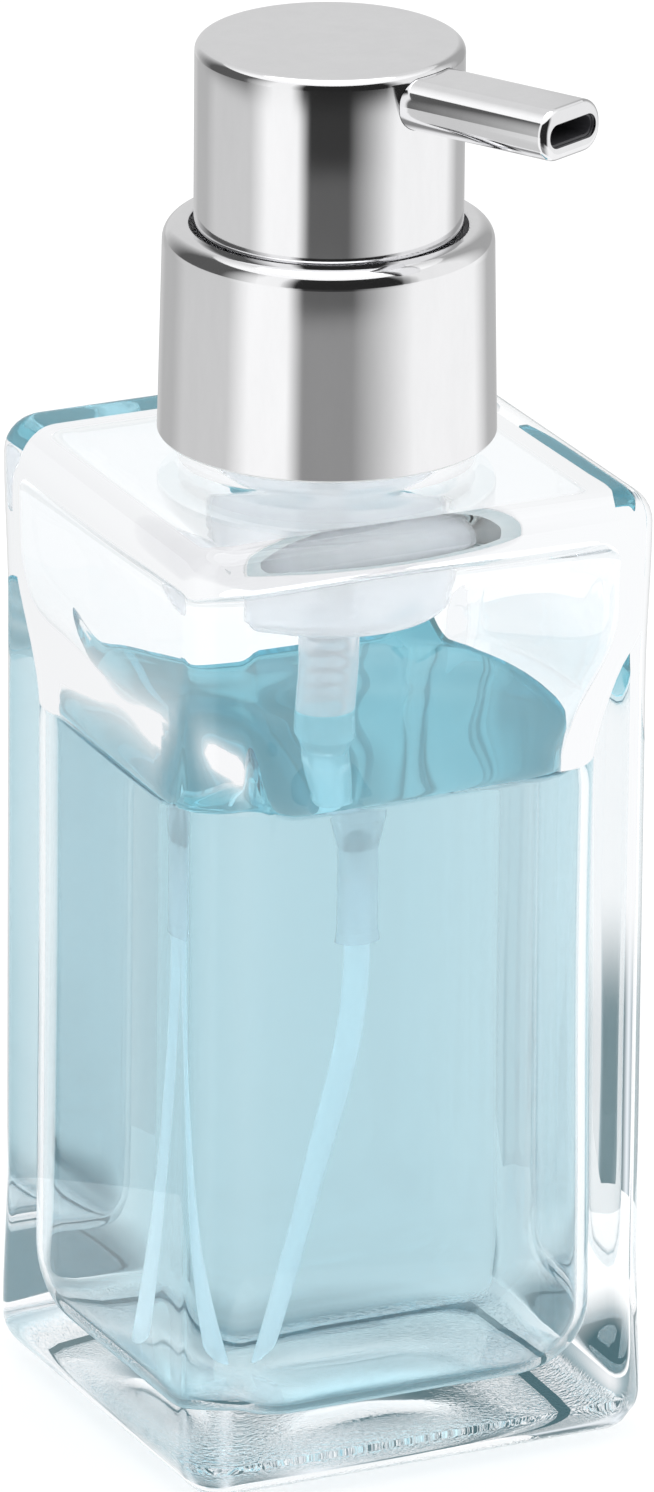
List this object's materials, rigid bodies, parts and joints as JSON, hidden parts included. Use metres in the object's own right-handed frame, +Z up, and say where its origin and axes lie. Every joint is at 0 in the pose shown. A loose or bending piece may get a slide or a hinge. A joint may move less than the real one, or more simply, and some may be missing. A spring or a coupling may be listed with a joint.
{
  "type": "soap pump dispenser",
  "caption": "Square thick-walled clear glass bottle with a bright metal foaming hand pump: sprung push-down head with a side spout, screw collar and a curved dip tube.",
  "frame": {"origin": "centre of the bottle's base, on the plane it stands on", "axes": "+Z up along the pump's axis; the bottle's faces are square to X and Y; at rest the spout points mostly along -Y, turned 24.5 degrees towards +X"},
  "size_m": [0.07, 0.0761, 0.198],
  "materials": {
    "bottle_glass": "polished pressed glass",
    "chrome": "bright polished",
    "natural_plastic": "translucent natural moulding, satin",
    "white_plastic": "plain white moulding, satin",
    "tube_plastic": "translucent extruded tube, satin",
    "seal_rubber": "soft white",
    "spring_steel": "drawn stainless wire",
    "ball_steel": "ground stainless",
    "screen_mesh": "fine woven nylon",
    "liner_plastic": "dark satin"
  },
  "bodies": {
    "bottle": {"bottle": "bottle_glass"},
    "pump_engine": {"pump_cylinder": "natural_plastic", "cylinder_cap": "natural_plastic", "neck_gasket": "seal_rubber", "dip_tube": "tube_plastic", "return_spring": "spring_steel"},
    "closure": {"closure": "white_plastic", "collar_shell": "chrome"},
    "piston": {"air_piston": "natural_plastic", "liquid_piston": "natural_plastic", "air_valve_flap": "seal_rubber"},
    "head": {"piston_stem": "white_plastic", "ball_retainer": "white_plastic", "mesh_holder": "white_plastic", "foam_screen_lower": "screen_mesh", "foam_screen_upper": "screen_mesh", "actuator_core": "white_plastic", "head_shell": "chrome", "spout": "chrome", "spout_liner": "liner_plastic"},
    "inlet_ball": {"inlet_ball": "ball_steel"},
    "outlet_ball": {"outlet_ball": "ball_steel"}
  },
  "joints": [
    {"name": "pump_rise", "type": "slide", "parent": "bottle", "child": "pump_engine", "axis": [0, 0, 1], "range_m": [0, 0.00882]},
    {"name": "closure_turn", "type": "hinge", "parent": "pump_engine", "child": "closure", "pos_m": [0, 0, 0.15], "axis": [0, 0, 1], "range_deg": [0, 750]},
    {"name": "head_press", "type": "slide", "parent": "pump_engine", "child": "piston", "axis": [0, 0, -1], "range_m": [0, 0.014], "stiffness_N_per_m": 900, "springref_m": -0.006, "deforming": ["return_spring"]},
    {"name": "head_swivel", "type": "hinge", "parent": "piston", "child": "head", "pos_m": [0, 0, 0.18], "axis": [0, 0, 1], "continuous": true},
    {"name": "inlet_ball_lift", "type": "slide", "parent": "pump_engine", "child": "inlet_ball", "axis": [0, 0, 1], "range_m": [0, 0.0012]},
    {"name": "outlet_ball_lift", "type": "slide", "parent": "head", "child": "outlet_ball", "axis": [0, 0, 1], "range_m": [0, 0.0012]}
  ],
  "couplings": [
    {"joint": "pump_rise", "follows": "closure_turn", "m_per_rad": 0.00067323}
  ]
}
